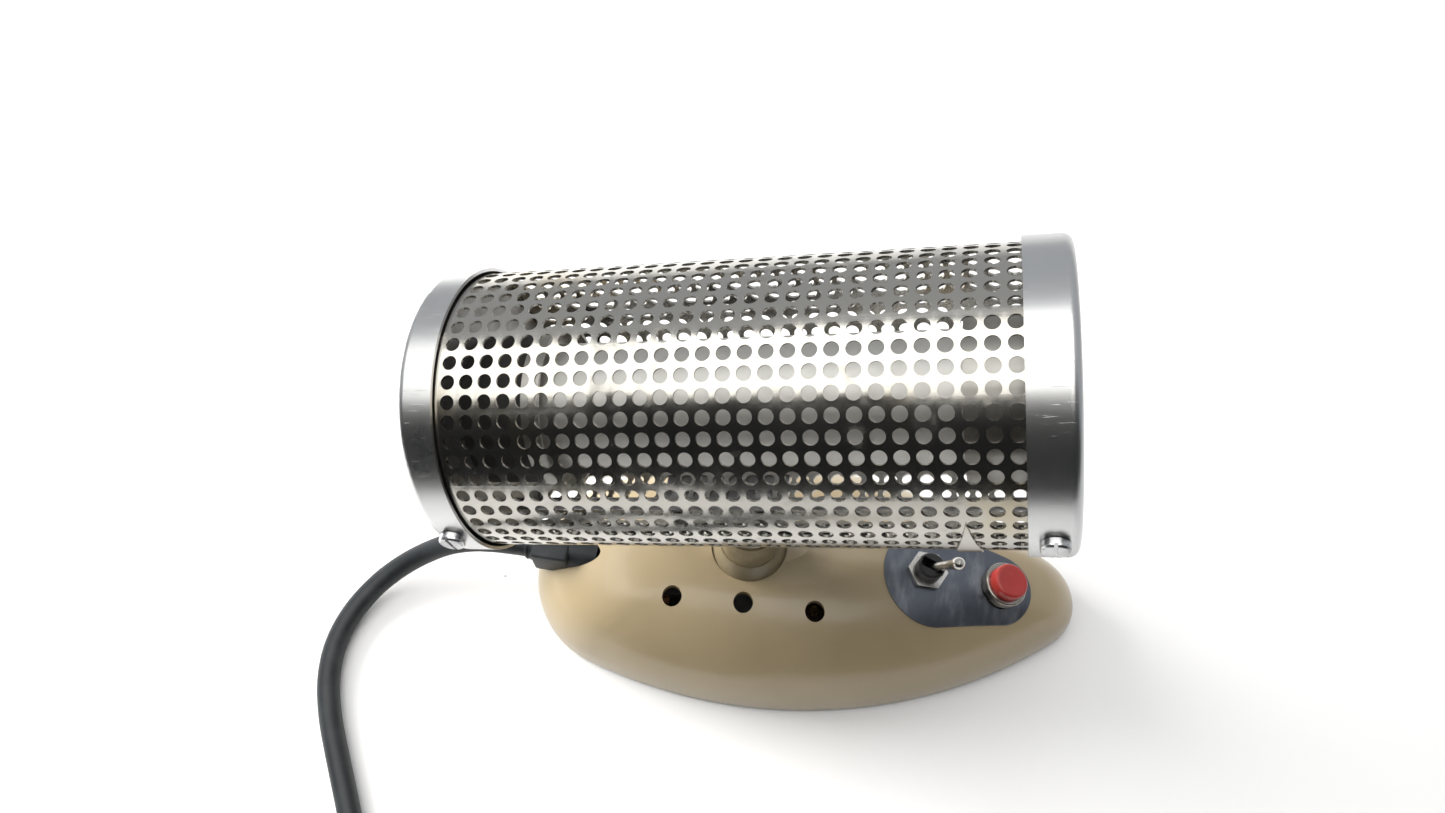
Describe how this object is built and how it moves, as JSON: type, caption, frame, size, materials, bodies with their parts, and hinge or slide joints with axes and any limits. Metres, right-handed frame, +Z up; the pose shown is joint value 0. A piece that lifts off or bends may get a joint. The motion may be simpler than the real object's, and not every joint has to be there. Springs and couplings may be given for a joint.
{
  "type": "heat lamp fixture",
  "caption": "Table-top radiant heat lamp: perforated metal drum between two caps on a tilting knuckle and short stem over a drop-shaped base with toggle, push button and cord.",
  "frame": {"origin": "on the table under the stem's axis", "axes": "+X along the base towards its narrow end, +Z up, the side with the operator at -Y"},
  "size_m": [0.3015, 0.2929, 0.2188],
  "materials": {
    "enamel": "gloss enamel",
    "sheet_steel": "satin",
    "screw_steel": "satin",
    "rubber": "matt",
    "panel_metal": "anodised satin",
    "core_steel": "varnished laminations",
    "copper_winding": "taped copper winding",
    "capacitor_can": "drawn can",
    "phenolic": "moulded phenolic",
    "nickel": "nickel plate",
    "black_plastic": "moulded",
    "red_plastic": "moulded",
    "mesh_steel": "polished perforated sheet",
    "spun_aluminium": "satin",
    "satin_reflector": "satin",
    "ceramic": "unglazed",
    "quartz": "clear quartz",
    "element": "coiled resistance wire",
    "brass": "plain"
  },
  "bodies": {
    "base": {"base_shell": "enamel", "base_plate": "sheet_steel", "base_plate_screws": "screw_steel", "rubber_feet": "rubber", "control_plate": "panel_metal", "choke_core": "core_steel", "choke_coil": "copper_winding", "capacitor": "capacitor_can", "terminal_block": "phenolic", "terminal_screws": "brass", "toggle_body": "phenolic", "toggle_nut": "nickel", "toggle_boot": "black_plastic", "button_housing": "black_plastic", "button_nut": "nickel", "collar_ring": "enamel", "cord_gland": "rubber", "cord_run": "rubber", "cord_coil": "rubber", "plug_body": "black_plastic", "plug_pins": "brass"},
    "toggle": {"toggle_lever": "nickel"},
    "button": {"button_cap": "red_plastic"},
    "stem": {"stem_tube": "enamel", "stem_washer": "screw_steel", "stem_nut": "screw_steel", "stem_fork": "enamel", "tilt_bolt": "screw_steel", "tilt_nut": "screw_steel"},
    "neck": {"knuckle_block": "enamel"},
    "head": {"guard_tube": "mesh_steel", "guard_tab": "mesh_steel", "left_cap": "spun_aluminium", "right_cap": "spun_aluminium", "left_bulkhead": "sheet_steel", "right_bulkhead": "sheet_steel", "cap_screws": "screw_steel", "saddle_bracket": "enamel", "saddle_screws": "screw_steel", "saddle_nuts": "screw_steel", "nod_pin": "screw_steel", "nod_nut": "screw_steel", "reflector_tube": "satin_reflector", "left_cup": "satin_reflector", "right_cup": "satin_reflector", "left_holder": "ceramic", "right_holder": "ceramic", "quartz_tube": "quartz", "heater_element": "element", "left_insulator": "phenolic", "tie_rods": "screw_steel"}
  },
  "joints": [
    {"name": "stem_swivel", "type": "hinge", "parent": "base", "child": "stem", "pos_m": [0, 0, 0.047], "axis": [0, 0, 1], "range_deg": [-170, 170]},
    {"name": "head_tilt", "type": "hinge", "parent": "stem", "child": "neck", "pos_m": [0, 0, 0.0753], "axis": [0, 1, 0], "range_deg": [-20, 35]},
    {"name": "head_nod", "type": "hinge", "parent": "neck", "child": "head", "pos_m": [-0.00481, 0, 0.09471], "axis": [0.9707, 0, 0.2402], "range_deg": [-35, 35]},
    {"name": "toggle_throw", "type": "hinge", "parent": "base", "child": "toggle", "pos_m": [0.06919, -0.0018, 0.04689], "axis": [0.3054, 0.9511, -0.0468], "range_deg": [-56, 0]},
    {"name": "button_press", "type": "slide", "parent": "base", "child": "button", "axis": [-0.3003, 0, -0.9538], "range_m": [0, 0.0025], "stiffness_N_per_m": 500, "springref_m": -0.002}
  ]
}
